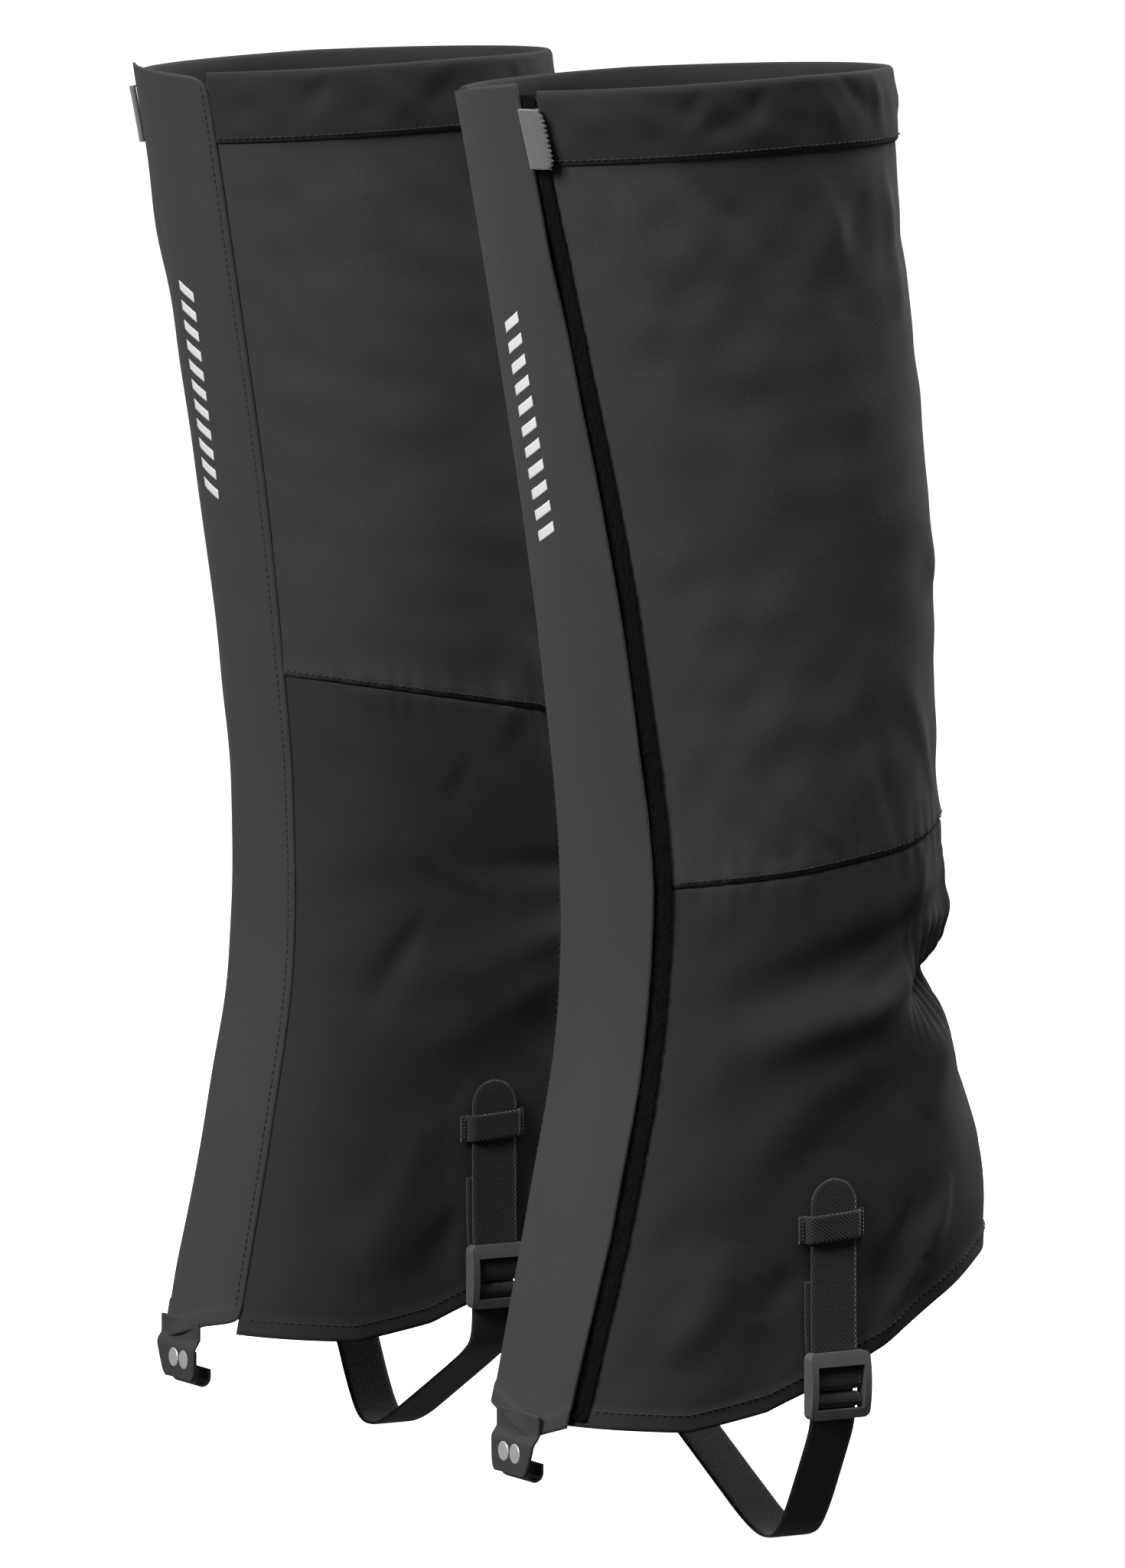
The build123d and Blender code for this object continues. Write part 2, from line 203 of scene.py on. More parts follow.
# Creases in the cuff, given the same way.
CUFF_FOLDS = [
    (74, 508, 67, 494, 3.0, -1.3),
    (90, 509, 83, 492, 3.0, -1.5),
    (68, 488, 84, 498, 3.0, -1.3),
    (78, 503, 88, 489, 4.0, 1.2),
    (110, 512, 124, 497, 3.0, -1.5),
    (104, 507, 112, 490, 4.0, 1.3),
    (128, 509, 132, 489, 4.0, 1.1),
    (52, 504, 60, 492, 4.0, 0.9),
    (262, 508, 270, 492, 3.5, -1.2),
    (284, 506, 276, 490, 4.0, 1.2),
    (296, 506, 306, 492, 3.5, -1.0),
    (240, 508, 232, 490, 4.0, 1.2),
    (170, 508, 182, 490, 4.0, -1.2),
    (202, 508, 196, 490, 4.0, 1.1),
]


# --- The sleeve's surface -----------------------------------------------------------------------------
def line(points, place):
    table = np.array(points, float)
    return np.interp(place, table[:, 0], table[:, 1])


def sections(z):
    """The four section values at every height in z, curved between levels."""
    last = len(SECTIONS) - 1
    level = np.clip(np.asarray(z, float) / SECTION_STEP, 0.0, last - 0.001)
    i = level.astype(int)
    t = (level - i)[..., None]
    p, q, r, s = (SECTIONS[np.clip(i + k, 0, last)] for k in (-1, 0, 1, 2))
    curve = (2 * p - 5 * q + 4 * r - s) * t * t + (3 * q - p - 3 * r + s) * t ** 3
    return np.moveaxis(q + 0.5 * ((r - p) * t + curve), -1, 0)


def signed_power(value, exponent):
    return np.sign(value) * np.abs(value) ** exponent


def bare_point(angle, z):
    centre_y, depth, width, squareness = sections(z)
    x = width * signed_power(np.sin(angle), 2 / squareness)
    y = centre_y - depth * signed_power(np.cos(angle), 2 / squareness)
    return np.stack([x, y, np.asarray(z, float) + 0 * x], axis=-1)


def angle_at(x, z):
    _, _, width, squareness = sections(z)
    return np.arcsin(np.clip(signed_power(x / width, squareness / 2), -1, 1))


def waves(u, v, seed, scale, count=14):
    """Smooth random undulation between about -1 and 1, the same each run."""
    rng = np.random.default_rng(seed)
    total = 0 * (u + v)
    for _ in range(count):
        turn, phase = rng.uniform(0, 2 * math.pi, 2)
        length = scale * rng.uniform(0.6, 1.8)
        run = u * math.cos(turn) + v * math.sin(turn)
        total = total + np.sin(run * 2 * math.pi / length + phase)
    return total / math.sqrt(count)


def panel_seam(point):
    """The height of the slanting seam between the two panels, beside a point of the sleeve."""
    outer = point[..., 0] > 0
    return np.where(outer, line(OUTER_SEAM, point[..., 1]), line(INNER_SEAM, point[..., 1]))


def folded(angle, z, folds):
    """The height of a list of folds, each a ridge or a groove that fades out at both ends."""
    degrees = np.degrees(angle) % 360
    total = 0.0 * degrees * z
    for a0, z0, a1, z1, width, height in folds:
        ax, az = (degrees - a0) * MM_PER_DEGREE, z - z0
        bx, bz = (a1 - a0) * MM_PER_DEGREE, z1 - z0
        length2 = bx * bx + bz * bz
        share = (ax * bx + az * bz) / length2
        near = np.clip(share, 0, 1)
        away2 = (ax - near * bx) ** 2 + (az - near * bz) ** 2
        spread = width * (0.55 + 0.75 * near)
        fade = np.sqrt(np.sin(math.pi * np.clip(near, 0.04, 0.96)))
        total = total + height * fade * np.exp(-away2 / spread ** 2)
    return total


def relief(angle, z):
    """How far the worn cloth stands from the smooth sleeve, in mm."""
    arc = angle * LEG_RADIUS
    degrees = np.degrees(angle) % 360
    total = 0.7 * waves(arc, z * 0.7, 3, 90) + 0.3 * waves(arc, z, 5, 30) + folded(angle, z, FOLDS)
    # The elastic pulls the heel side in, and the cloth bulges above and below it and gathers into short
    # upright ripples.
    heel = np.clip((66 - np.abs(degrees - 180)) / 20, 0, 1)
    heel = heel * heel * (3 - 2 * heel)
    dz = z - ELASTIC_Z
    total = total - heel * 6.5 * np.exp(-(dz / 11.0) ** 2)
    bulges = np.exp(-((dz - 24) / 11.0) ** 2) + 0.8 * np.exp(-((dz + 26) / 13.0) ** 2)
    total = total + heel * 2.4 * bulges
    ripple = np.sin(arc * 2 * math.pi / 6.2 + 1.3 * waves(arc, z * 0.3, 11, 24))
    fade = np.exp(-(np.maximum(np.abs(dz) - 9, 0) / 9.0) ** 2)
    total = total + heel * 1.0 * ripple * fade
    # Puckers along the slanting seam but not on it, and the seam's own groove.
    ds = z - panel_seam(bare_point(angle, z))
    pucker = np.sin(arc * 2 * math.pi / 8.5 + 1.6 * waves(arc, 0 * z, 17, 30))
    total = total + 0.34 * pucker * np.exp(-np.abs(ds) / 7.0) * (np.abs(ds) > 0)
    total = total - 0.8 * np.exp(-(ds / 1.1) ** 2)
    return total


def calm(angle, z):
    """1 where the cloth is free, and near 0 beside the flap's seam, the straps and the rim."""
    point = bare_point(angle, z)
    x, y = point[..., 0], point[..., 1]
    front = np.clip((np.abs(x - 4.0) - 26.0) / 16.0, 0, 1)
    front = np.where(y > 0, 1.0, front)
    strap = np.clip((np.abs(y - STRAP_Y) - 8.0) / 10.0, 0, 1) + np.clip((z - 128.0) / 12.0, 0, 1)
    rim = np.clip((line(RIM, y) - CUFF_HEIGHT - z) / 20.0, 0.25, 1)
    return np.clip(front, 0.12, 1) * np.clip(strap, 0.15, 1) * rim


def cloth_point(angle, z, lift=0.0, worn=1.0):
    """A point on the worn cloth, moved outwards by lift."""
    step = 0.004
    base = bare_point(angle, z)
    du = bare_point(angle + step, z) - bare_point(angle - step, z)
    dv = bare_point(angle, z + 0.5) - bare_point(angle, z - 0.5)
    normal = np.cross(du, dv)
    normal /= np.linalg.norm(normal, axis=-1, keepdims=True)
    away = lift + worn * calm(angle, z) * relief(angle, z)
    return base + normal * np.asarray(away)[..., None]


def grid_on_sleeve(start, end, low, high, columns, rows):
    """Angles and heights of a grid between two side edges and a lower and an upper edge."""
    u = np.linspace(0, 1, columns + 1)[:, None]
    v = np.linspace(0, 1, rows + 1)[None, :]
    z = 250.0 + 0 * (u + v)
    for _ in range(14):
        angle = start(z) + (end(z) - start(z)) * u
        point = bare_point(angle, z)
        z = low(point) + (high(point) - low(point)) * v
    return angle, z


def front_angle(outline, shift=0.0):
    return lambda z: angle_at(line(outline, z) + shift, z)


def sleeve_end(z):
    return 2 * math.pi + angle_at(line(FLAP_SEAM, z) + 0.6, z)


def by_y(outline, rise=0.0):
    return lambda point: line(outline, point[..., 1]) + rise


# --- Meshes -------------------------------------------------------------------------------------------
def grid_faces(columns, rows):
    i, j = np.meshgrid(np.arange(columns), np.arange(rows), indexing="ij")
    step = rows + 1
    here = i * step + j
    right = here + step
    return np.stack([here, right, right + 1, here + 1], axis=-1).reshape(-1, 4)


def grid_uv(points):
    """Lengths along the grid's two ways, in metres, for the weave."""
    across = np.linalg.norm(np.diff(points, axis=0), axis=-1)
    up = np.linalg.norm(np.diff(points, axis=1), axis=-1)
    u = np.concatenate([np.zeros((1, points.shape[1])), np.cumsum(across, axis=0)])
    v = np.concatenate([np.zeros((points.shape[0], 1)), np.cumsum(up, axis=1)], axis=1)
    return np.stack([u, v], axis=-1).reshape(-1, 2) * MM


def place(points, side):
    sign = SIDES[side]
    out = np.array(points, float).reshape(-1, 3) * MM
    out[:, 0] = sign * (LEG_X + out[:, 0])
    out[:, 1] += FORE_AFT
    return out


def piece(name, side, points, faces, uv, material):
    """A mesh in its place on one gaiter, from points in mm."""
    mesh = bpy.data.meshes.new(f"{side}_{name}")
    faces = [list(f)[::int(SIDES[side])] for f in faces]
    mesh.from_pydata(place(points, side).tolist(), [], faces)
    layer = mesh.uv_layers.new(name="UVMap")
    index = np.zeros(len(mesh.loops), int)
    mesh.loops.foreach_get("vertex_index", index)
    layer.data.foreach_set("uv", np.asarray(uv)[index].astype(np.float32).ravel())
    mesh.polygons.foreach_set("use_smooth", [True] * len(mesh.polygons))
    mesh.materials.append(material)
    mesh.validate()
    made = bpy.data.objects.new(f"{side}_{name}", mesh)
    bpy.context.scene.collection.objects.link(made)
    return made


def thicken(made, thickness):
    """Gives a sheet its thickness, inwards from its outer face."""
    solid = made.modifiers.new("thickness", "SOLIDIFY")
    solid.thickness = thickness * MM
    solid.offset = -1.0
    return made


def sheet_piece(name, side, points, material, thickness):
    faces = grid_faces(points.shape[0] - 1, points.shape[1] - 1)
    made = piece(name, side, points, faces, grid_uv(points), material)
    return thicken(made, thickness)


def smooth_path(points, rounds=3):
    """Cuts the corners of a path until it is a smooth curve."""
    path = np.array(points, float)
    for _ in range(rounds):
        a, b = path[:-1], path[1:]
        cut = np.stack([a * 0.75 + b * 0.25, a * 0.25 + b * 0.75], axis=1)
        path = np.concatenate([path[:1], cut.reshape(-1, path.shape[1]), path[-1:]])
    return path


def even_path(path, step):
    lengths = np.linalg.norm(np.diff(path, axis=0), axis=1)
    run = np.concatenate([[0], np.cumsum(lengths)])
    at = np.linspace(0, run[-1], max(3, int(run[-1] / step) + 1))
    return np.stack([np.interp(at, run, path[:, k]) for k in range(path.shape[1])], axis=1), at


def ribbon(name, side, path, across, width, thickness, material, step=1.0, round_end=False):
    """Flat webbing along a path, with rounded selvedges; across is the way its width runs."""
    centre, at = even_path(np.array(path, float), step)
    tangent = np.gradient(centre, axis=0)
    tangent /= np.linalg.norm(tangent, axis=1, keepdims=True)
    wide = np.array(across, float)
    out = np.cross(tangent, wide)
    out /= np.linalg.norm(out, axis=1, keepdims=True)
    half = np.full(len(at), width / 2)
    if round_end:
        past = np.clip(width / 2 - (at[-1] - at), 0, width / 2 - 0.05)
        half = np.sqrt((width / 2) ** 2 - past ** 2)
    flat = np.linspace(-1, 1, 15)
    top = [(f, 0.5 * (1 - 0.55 * abs(f) ** 14)) for f in flat]
    ring = top + [(f, -h) for f, h in reversed(top)]
    points = np.zeros((len(at), len(ring), 3))
    for k, (f, h) in enumerate(ring):
        points[:, k] = centre + wide * (half * f)[:, None] + out * (thickness * h)
    n, m = len(at), len(ring)
    faces = []
    for i in range(n - 1):
        for k in range(m):
            a, b = i * m + k, i * m + (k + 1) % m
            faces.append((a, a + m, b + m, b))
    faces.append(list(range(m)))
    faces.append(list(range((n - 1) * m, n * m))[::-1])
    uv = np.stack([
        np.repeat([[f * width / 2 * MM for f, _ in ring]], n, axis=0),
        np.repeat(at[:, None] * MM, m, axis=1),
    ], axis=-1).reshape(-1, 2)
    return piece(name, side, points.reshape(-1, 3), faces, uv, material)


def stitches(name, side, route, material, pitch=2.6, length=1.9, radius=0.22):
    """A row of short raised threads along a route in mm, with each row's outward direction."""
    path, normal = route
    lengths = np.linalg.norm(np.diff(path, axis=0), axis=1)
    run = np.concatenate([[0], np.cumsum(lengths)])
    points, faces = [], []
    around = 6
    for start in np.arange(0.5, run[-1] - length, pitch):
        ends = []
        for place_at, rise, size in ((0, -0.2, 0.3), (0.2, 0.55, 1), (0.8, 0.55, 1), (1, -0.2, 0.3)):
            at = start + length * place_at
            p = np.array([np.interp(at, run, path[:, k]) for k in range(3)])
            out = np.array([np.interp(at, run, normal[:, k]) for k in range(3)])
            out /= np.linalg.norm(out)
            ends.append((p + out * radius * rise * 1.6, out, size))
        way = ends[-1][0] - ends[0][0]
        way /= np.linalg.norm(way)
        base = len(points)
        for p, out, size in ends:
            sidewise = np.cross(way, out)
            for k in range(around):
                turn = 2 * math.pi * k / around
                points.append(p + radius * size * (math.cos(turn) * sidewise + math.sin(turn) * out))
        for e in range(len(ends) - 1):
            for k in range(around):
                a = base + e * around + k
                b = base + e * around + (k + 1) % around
                faces.append((a, b, b + around, a + around))
        faces.append([base + k for k in range(around)][::-1])
        faces.append([base + 3 * around + k for k in range(around)])
    return piece(name, side, np.array(points), faces, np.zeros((len(points), 2)), material)


# --- Materials ----------------------------------------------------------------------------------------
def nodes_of(name):
    material = bpy.data.materials.new(name)
    material.use_nodes = True
    tree = material.node_tree
    shader = next(n for n in tree.nodes if n.type == "BSDF_PRINCIPLED")
    return material, tree, shader


def math_node(tree, kind, a, b=None):
    node = tree.nodes.new("ShaderNodeMath")
    node.operation = kind
    for socket, value in zip(node.inputs, (a, b)):
        if isinstance(value, (int, float)):
            socket.default_value = value
        elif value is not None:
            tree.links.new(value, socket)
    return node.outputs[0]


def noise(tree, vector, scale, detail=3.0):
    node = tree.nodes.new("ShaderNodeTexNoise")
    node.inputs["Scale"].default_value = scale
    node.inputs["Detail"].default_value = detail
    tree.links.new(vector, node.inputs["Vector"])
    return node.outputs["Fac"]


def weave_height(tree, coordinate, across, along):
    """Over-and-under threads from the cloth's own lengths, 0 to 1; the pitches are in metres."""
    split = tree.nodes.new("ShaderNodeSeparateXYZ")
    tree.links.new(coordinate, split.inputs[0])
    u = math_node(tree, "SINE", math_node(tree, "MULTIPLY", split.outputs[0], 2 * math.pi / across))
    v = math_node(tree, "SINE", math_node(tree, "MULTIPLY", split.outputs[1], 2 * math.pi / along))
    return math_node(tree, "MULTIPLY_ADD", math_node(tree, "MULTIPLY", u, v), 0.5)


def shade(tree, factor, dark, light, output):
    """Mixes two greys by a factor into a shader socket."""
    ramp = tree.nodes.new("ShaderNodeValToRGB")
    ramp.color_ramp.elements[0].color = (*dark, 1)
    ramp.color_ramp.elements[1].color = (*light, 1)
    tree.links.new(factor, ramp.inputs[0])
    tree.links.new(ramp.outputs[0], output)


def bump(tree, shader, height, distance):
    node = tree.nodes.new("ShaderNodeBump")
    node.inputs["Strength"].default_value = 1.0
    node.inputs["Distance"].default_value = distance
    tree.links.new(height, node.inputs["Height"])
    tree.links.new(node.outputs[0], shader.inputs["Normal"])


def woven(
    name, grey, across=0.0009, along=0.0007, contrast=0.12, rough=0.82, sheen=0.25, relief_m=0.00012
):
    """Woven cloth: threads from the UV lengths, a soft mottle, and a matt sheen; lengths in metres."""
    material, tree, shader = nodes_of(name)
    coordinates = tree.nodes.new("ShaderNodeTexCoord")
    threads = weave_height(tree, coordinates.outputs["UV"], across, along)
    mottle = noise(tree, coordinates.outputs["Object"], 45.0, 4.0)
    grain = noise(tree, coordinates.outputs["Object"], 900.0, 2.0)
    mixed = math_node(tree, "MULTIPLY", threads, 0.34)
    mixed = math_node(tree, "ADD", mixed, math_node(tree, "MULTIPLY", mottle, 0.36))
    mixed = math_node(tree, "ADD", mixed, math_node(tree, "MULTIPLY", grain, 0.30))
    dark = [g * (1 - contrast * 2) for g in grey]
    light = [g * (1 + contrast * 2) for g in grey]
    shade(tree, mixed, dark, light, shader.inputs["Base Color"])
    shader.inputs["Roughness"].default_value = rough
    shader.inputs["Specular IOR Level"].default_value = 0.2
    shader.inputs["Sheen Weight"].default_value = sheen
    shader.inputs["Sheen Roughness"].default_value = 0.45
    height = math_node(tree, "ADD", threads, math_node(tree, "MULTIPLY", grain, 0.8))
    bump(tree, shader, height, relief_m)
    return material


def pile(name, grey):
    """Brushed loop pile: dull, broken up and almost black."""
    material, tree, shader = nodes_of(name)
    coordinates = tree.nodes.new("ShaderNodeTexCoord")
    fuzz = noise(tree, coordinates.outputs["Object"], 1500.0, 5.0)
    shade(tree, fuzz, [g * 0.4 for g in grey], [g * 2.2 for g in grey], shader.inputs["Base Color"])
    shader.inputs["Roughness"].default_value = 0.95
    shader.inputs["Specular IOR Level"].default_value = 0.04
    shader.inputs["Sheen Weight"].default_value = 0.02
    bump(tree, shader, fuzz, 0.0008)
    return material


def moulded(name, grey, rough):
    """Moulded plastic with a fine spark-eroded grain and faint wear."""
    material, tree, shader = nodes_of(name)
    coordinates = tree.nodes.new("ShaderNodeTexCoord")
    grain = noise(tree, coordinates.outputs["Object"], 2600.0, 2.0)
    wear = noise(tree, coordinates.outputs["Object"], 160.0, 4.0)
    shade(tree, wear, [g * 0.85 for g in grey], [g * 1.2 for g in grey], shader.inputs["Base Color"])
    shade(tree, wear, [rough - 0.06] * 3, [rough + 0.08] * 3, shader.inputs["Roughness"])
    bump(tree, shader, grain, 0.00004)
    return material


def metal(name, grey, rough, metallic):
    """Satin metal with fine scratches."""
    material, tree, shader = nodes_of(name)
    coordinates = tree.nodes.new("ShaderNodeTexCoord")
    stretch = tree.nodes.new("ShaderNodeMapping")
    stretch.inputs["Scale"].default_value = (400.0, 400.0, 3000.0)
    tree.links.new(coordinates.outputs["Object"], stretch.inputs[0])
    scratches = noise(tree, stretch.outputs[0], 1.0, 3.0)
    shade(tree, scratches, [g * 0.9 for g in grey], [g * 1.1 for g in grey], shader.inputs["Base Color"])
    shade(tree, scratches, [rough - 0.08] * 3, [rough + 0.08] * 3, shader.inputs["Roughness"])
    shader.inputs["Metallic"].default_value = metallic
    bump(tree, shader, scratches, 0.00003)
    return material


UPPER = woven("upper_panel_weave", (0.0220, 0.0220, 0.0226), sheen=0.05)
LOWER = woven("lower_panel_weave", (0.0130, 0.0130, 0.0134), across=0.0007, along=0.0006, sheen=0.05)
CUFF = woven("cuff_weave", (0.0120, 0.0120, 0.0124), across=0.0007, along=0.0006, sheen=0.05)
FLAP = woven(
    "flap_weave", (0.0270, 0.0270, 0.0276), across=0.0008, along=0.0008, contrast=0.08, sheen=0.05
)
ELASTIC = woven("elastic_rib", (0.0080, 0.0080, 0.0084), across=0.0016, along=0.0030, relief_m=0.0004)
STRAP = woven(
    "webbing_weave", (0.0090, 0.0090, 0.0094),
    across=0.0013, along=0.0018, contrast=0.2, relief_m=0.0003,
)
TAB = woven("pull_tab_weave", (0.0900, 0.0900, 0.0915), across=0.0010, along=0.0010, contrast=0.15)
THREAD = woven("sewing_thread", (0.0110, 0.0110, 0.0115), relief_m=0.00005)
PRINT = woven("reflective_print", (0.5200, 0.5200, 0.5250), contrast=0.05, rough=0.5, relief_m=0.00006)
PILE = pile("loop_pile", (0.0022, 0.0022, 0.0023))
HOOKS = pile("hook_tape_stubble", (0.0060, 0.0060, 0.0062))
PLASTIC = moulded("buckle_plastic", (0.0620, 0.0620, 0.0640), 0.36)
RIVET = metal("rivet_metal", (0.42, 0.42, 0.42), 0.34, 0.4)
HOOK_METAL = metal("lace_hook_metal", (0.07, 0.07, 0.073), 0.36, 0.7)


# --- Sleeve pieces ------------------------------------------------------------------------------------
def sleeve_panels(side):
    body = f"{side}_sleeve_body"
    for name, low, high, material in (
        ("upper_panel", panel_seam, by_y(RIM, -3.0), UPPER),
        ("lower_panel", by_y(HEM), panel_seam, LOWER),
    ):
        start = front_angle(FLAP_EDGE, LOOP_SHOWS - LOOP_WIDTH)
        angle, z = grid_on_sleeve(start, sleeve_end, low, high, 300, 150)
        bare = bare_point(angle, z)
        lap = 0.45 * np.exp(-((z - panel_seam(bare)) / 5.0) ** 2) if name == "upper_panel" else 0.0
        hem = 0.5 * (z < line(HEM, bare[..., 1]) + 7.0)
        panel = sheet_piece(f"{name}_cloth", side, cloth_point(angle, z, lap + hem), material, 0.8)
        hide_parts(f"{side}_{name}")
        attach(panel, body)


def cuff(side):
    """The cuff is one band: stitched down outside, folded over the rim and faced inside."""
    columns = 300
    start = front_angle(FLAP_EDGE, LOOP_SHOWS + 0.4)
    profile = [(-CUFF_HEIGHT, 0.15), (-CUFF_HEIGHT + 0.8, 1.0), (-CUFF_HEIGHT + 3, 1.15)]
    profile += [(d, 1.35) for d in (-20, -17, -14, -11, -8, -5.5, -3.5)]
    profile += [(-2.0, 1.3), (-0.8, 0.9), (-0.1, 0.2), (0.0, -0.8), (-0.5, -2.0), (-1.5, -2.8)]
    profile += [(d, -3.2) for d in (-5, -9, -14, -19, -24, -CUFF_HEIGHT)]
    rows = []
    for drop, lift in profile:
        angle, z = grid_on_sleeve(start, sleeve_end, by_y(RIM, drop), by_y(RIM, drop), columns, 1)
        angle, z = angle[:, 0], z[:, 0]
        arc = angle * LEG_RADIUS
        hang = math.sin(math.pi * min(1.0, -drop / CUFF_HEIGHT))
        wrinkle = hang * (0.5 * waves(arc, drop * 1.4, 23, 26) + folded(angle, z, CUFF_FOLDS))
        height = lift + (wrinkle if lift > 0 else 0.2 * wrinkle)
        height[[0, -1]] = -1.0  # both ends are sewn shut
        rows.append(cloth_point(angle, z, height, worn=0.5))
    band = sheet_piece("cuff_band", side, np.stack(rows, axis=1), CUFF, 0.5)
    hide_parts(f"{side}_top_cuff", f"{side}_cuff_facing", f"{side}_cuff_elastic")
    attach(band, f"{side}_sleeve_body")


def loop_tape(side):
    start = front_angle(FLAP_EDGE, LOOP_SHOWS - LOOP_WIDTH)
    end = front_angle(FLAP_EDGE, LOOP_SHOWS)
    angle, z = grid_on_sleeve(start, end, by_y(HEM, 2.0), by_y(RIM, -1.0), 40, 420)
    rng = np.random.default_rng(41)
    fuzz = rng.normal(0, 0.22, angle.shape)
    tape = sheet_piece("loop_tape", side, cloth_point(angle, z, 1.2 + fuzz), PILE, 0.9)
    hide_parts(f"{side}_loop_strip")
    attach(tape, f"{side}_sleeve_body")


def ankle_elastic(side):
    """Ribbed elastic sewn inside the heel side."""
    ends = math.pi - ELASTIC_HALF_ANGLE, math.pi + ELASTIC_HALF_ANGLE
    angle = np.linspace(*ends, 160)[:, None] + np.zeros((1, 13))
    z = ELASTIC_Z + np.linspace(-ELASTIC_HALF_WIDTH, ELASTIC_HALF_WIDTH, 13)[None, :] + 0 * angle
    rib = 0.2 * np.cos(angle * LEG_RADIUS * 2.1)
    band = sheet_piece("heel_elastic", side, cloth_point(angle, z, -1.6 + rib), ELASTIC, 0.7)
    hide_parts(f"{side}_ankle_elastic")
    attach(band, f"{side}_sleeve_body")


# --- Flap ---------------------------------------------------------------------------------------------
def flap_surface(x_share, z, lift=0.0):
    """Points on the flap's outer face, from its seam (0) to its free edge (1)."""
    start, end = front_angle(FLAP_SEAM)(z), front_angle(FLAP_EDGE)(z)
    angle = start + (end - start) * x_share
    from_seam = x_share * FLAP_WIDTH
    rise = 0.5 + (FLAP_LIFT - 0.5) * np.clip(from_seam / 9.0, 0, 1) ** 0.8
    drape = 0.45 * waves(from_seam * 0.8, z, 53, 120) * np.clip(from_seam / 20.0, 0, 1)
    edge = 0.5 * waves(z, 0 * z, 59, 60) * np.clip((from_seam - 40) / 12.0, 0, 1)
    return cloth_point(angle, z, lift + rise + drape + edge, worn=0.25)


def flap_grid(columns, rows):
    share = np.linspace(0, 1, columns + 1)[:, None]
    v = np.linspace(0, 1, rows + 1)[None, :]
    z = 250.0 + 0 * (share + v)
    for _ in range(14):
        start, end = front_angle(FLAP_SEAM)(z), front_angle(FLAP_EDGE)(z)
        point = bare_point(start + (end - start) * share, z)
        near = np.clip(FLAP_CORNER - share * FLAP_WIDTH, 0, FLAP_CORNER)
        rounding = FLAP_CORNER - np.sqrt(np.maximum(FLAP_CORNER ** 2 - near ** 2, 0))
        low = line(FLAP_HEM, point[..., 0]) + rounding * 0.3
        high = line(FLAP_TOP, point[..., 0]) + 3.0 - rounding * 0.9
        z = low + (high - low) * v
    return share + 0 * z, z


def blend_flap(made):
    """Bakes the piece's placement into its mesh."""
    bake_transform(made)


def flap(side):
    share, z = flap_grid(60, 420)
    hem = 0.5 * (z < line(FLAP_HEM, flap_surface(share, z)[..., 0]) + 6.0)
    points = flap_surface(share, z, hem)
    cover = sheet_piece("flap_cloth", side, points, FLAP, 1.0)
    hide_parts(f"{side}_storm_flap")
    blend_flap(cover)
    share, z = flap_grid(60, 300)
    share = 0.60 + 0.36 * share
    z = z.min() + 7 + (z - z.min()) * 0.97
    rng = np.random.default_rng(67)
    points = flap_surface(share, np.clip(z, 52, 499), -1.15)
    points = points + rng.normal(0, 0.08, points.shape)
    tape = sheet_piece("hook_tape", side, points, HOOKS, 0.6)
    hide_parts(f"{side}_hook_strip")
    blend_flap(tape)


def flap_print(side):
    """A plain reflective ladder of slanting bars, in place of any lettering."""
    points, faces = [], []
    columns, rows = 10, 6
    for k in range(BARS):
        low = BARS_TOP - k * BAR_PITCH
        across = np.linspace(-BAR_HALF_WIDTH, BAR_HALF_WIDTH, columns + 1)[:, None]
        share = BAR_MIDDLE + across + np.zeros((1, rows + 1))
        z = low + np.linspace(0, BAR_HEIGHT, rows + 1)[None, :] + (share - BAR_MIDDLE) * BAR_SLANT
        block = flap_surface(share, z, 0.12)
        faces += [[i + len(points) for i in f] for f in grid_faces(columns, rows)]
        points += list(block.reshape(-1, 3))
    points = np.array(points)
    bars = piece("reflective_bars", side, points, faces, points[:, [0, 2]] * MM, PRINT)
    thicken(bars, 0.1)
    blend_flap(bars)


def pull_tab(side):
    """A short folded tab under the flap's free edge, cut ragged along its end."""
    low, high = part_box(f"{side}_pull_tab")
    u = np.linspace(0, 1, 17)[:, None]
    v = np.linspace(0, 1, 41)[None, :]
    z = high.z / MM - 0.3 + (low.z - high.z + 0.6 * MM) / MM * v + 0 * u
    shift = 0.1 + 7.5 * u + 0.3 * np.sin(v * 75) * (u > 0.9)
    corner = 2.2 * np.clip((u - 0.7) / 0.3, 0, 1) ** 2 * np.clip(np.abs(v - 0.5) / 0.5, 0, 1) ** 10
    angle = angle_at(line(FLAP_EDGE, z) + shift - corner, z)
    lift = 2.9 + 0.9 * np.clip(u * 1.6, 0, 1)
    tab = sheet_piece("pull_tab_cloth", side, cloth_point(angle, z, lift, worn=0.2), TAB, 1.3)
    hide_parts(f"{side}_pull_tab")
    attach(tab, f"{side}_pull_tab_body")


